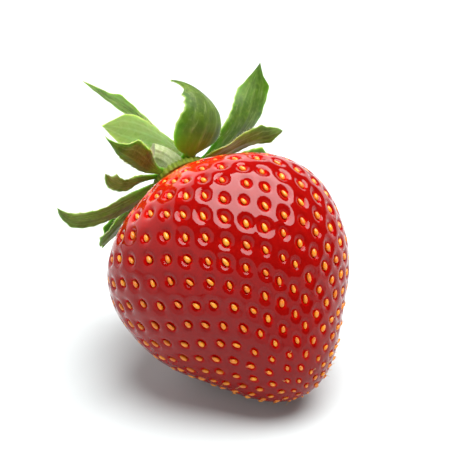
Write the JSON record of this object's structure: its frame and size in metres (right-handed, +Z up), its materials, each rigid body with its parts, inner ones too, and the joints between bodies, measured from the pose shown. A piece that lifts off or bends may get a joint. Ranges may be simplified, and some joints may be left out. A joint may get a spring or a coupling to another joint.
{
  "type": "strawberry",
  "caption": "Ripe red strawberry lying on its side, seeds sunk in pits over its skin, with a green toothed calyx and a short cut stem at its raised end.",
  "frame": {"origin": "middle of the small pressed spot on the underside, on the table", "axes": "+Z up; the berry's tip points forward (-Y) and to the right (+X) and is low, the calyx is raised and points back (+Y) and to the left (-X)"},
  "size_m": [0.0479, 0.0483, 0.0465],
  "materials": {
    "berry_skin": "glossy moist red skin with golden seeds",
    "sepal_green": "soft matt green leaf, paler underneath",
    "disc_green": "matt yellow-green",
    "stem_pale": "matt pale green with a dry cut end"
  },
  "bodies": {
    "root": {"berry": "berry_skin", "calyx_disc": "disc_green", "sepal_left_long": "sepal_green", "sepal_left_tall": "sepal_green", "sepal_left_broad": "sepal_green", "sepal_top_broad": "sepal_green", "sepal_right_tall": "sepal_green", "sepal_back_right": "sepal_green", "sepal_back_low": "sepal_green", "sepal_under": "sepal_green", "bract_left": "sepal_green", "bract_front": "sepal_green", "bract_right": "sepal_green", "bract_low": "sepal_green", "bract_hanging": "sepal_green", "stem": "stem_pale"}
  },
  "joints": []
}
